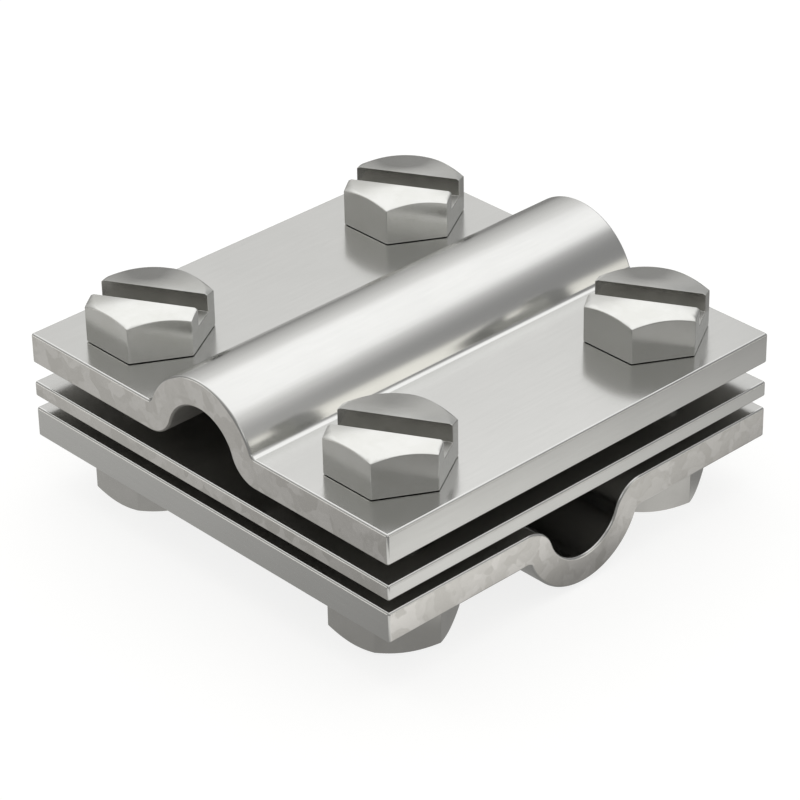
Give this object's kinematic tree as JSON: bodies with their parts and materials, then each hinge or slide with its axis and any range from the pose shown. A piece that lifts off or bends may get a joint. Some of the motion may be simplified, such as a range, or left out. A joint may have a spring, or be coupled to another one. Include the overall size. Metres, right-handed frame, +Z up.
{
  "type": "cross clamp",
  "caption": "Square cross clamp: pressed plates whose channels grip crossing round conductors, a flat plate between them, drawn together by slotted hexagon bolts.",
  "frame": {"origin": "centre of the square plates in plan, at the level of the nuts' lower faces, on which the block stands", "axes": "+Z up through the bolts towards their heads, +X along the upper plate's channel, +Y along the lower plate's channel"},
  "size_m": [0.06, 0.06, 0.0264],
  "materials": {
    "pressed_plate_steel": "hot-dip galvanised, satin",
    "flat_plate_steel": "hot-dip galvanised, satin",
    "bolt_steel": "galvanised, satin",
    "nut_steel": "galvanised, satin"
  },
  "bodies": {
    "base": {"lower_plate": "pressed_plate_steel", "nut_front": "nut_steel", "nut_left": "nut_steel", "nut_right": "nut_steel", "nut_back": "nut_steel"},
    "middle": {"middle_plate": "flat_plate_steel"},
    "upper": {"upper_plate": "pressed_plate_steel"},
    "front_bolt": {"bolt_front": "bolt_steel"},
    "left_bolt": {"bolt_left": "bolt_steel"},
    "right_bolt": {"bolt_right": "bolt_steel"},
    "back_bolt": {"bolt_back": "bolt_steel"}
  },
  "joints": [
    {"name": "bolt_front_turn", "type": "hinge", "parent": "upper", "child": "front_bolt", "pos_m": [-0.0201, -0.0201, 0.0203], "axis": [0, 0, 1], "range_deg": [-1152, 1152]},
    {"name": "bolt_left_turn", "type": "hinge", "parent": "upper", "child": "left_bolt", "pos_m": [-0.0201, 0.0201, 0.0203], "axis": [0, 0, 1], "range_deg": [-1152, 1152]},
    {"name": "bolt_right_turn", "type": "hinge", "parent": "upper", "child": "right_bolt", "pos_m": [0.0201, -0.0201, 0.0203], "axis": [0, 0, 1], "range_deg": [-1152, 1152]},
    {"name": "bolt_back_turn", "type": "hinge", "parent": "upper", "child": "back_bolt", "pos_m": [0.0201, 0.0201, 0.0203], "axis": [0, 0, 1], "range_deg": [-1152, 1152]},
    {"name": "upper_plate_travel", "type": "slide", "parent": "base", "child": "upper", "axis": [0, 0, 1], "range_m": [-0.004, 0.004]},
    {"name": "middle_plate_travel", "type": "slide", "parent": "base", "child": "middle", "axis": [0, 0, 1], "range_m": [-0.0015, 0.0015]}
  ],
  "couplings": [
    {"joint": "bolt_front_turn", "follows": "upper_plate_travel", "rad_per_m": 5026.5},
    {"joint": "bolt_left_turn", "follows": "upper_plate_travel", "rad_per_m": 5026.5},
    {"joint": "bolt_right_turn", "follows": "upper_plate_travel", "rad_per_m": 5026.5},
    {"joint": "bolt_back_turn", "follows": "upper_plate_travel", "rad_per_m": 5026.5},
    {"joint": "middle_plate_travel", "follows": "upper_plate_travel", "ratio": 0.375}
  ]
}
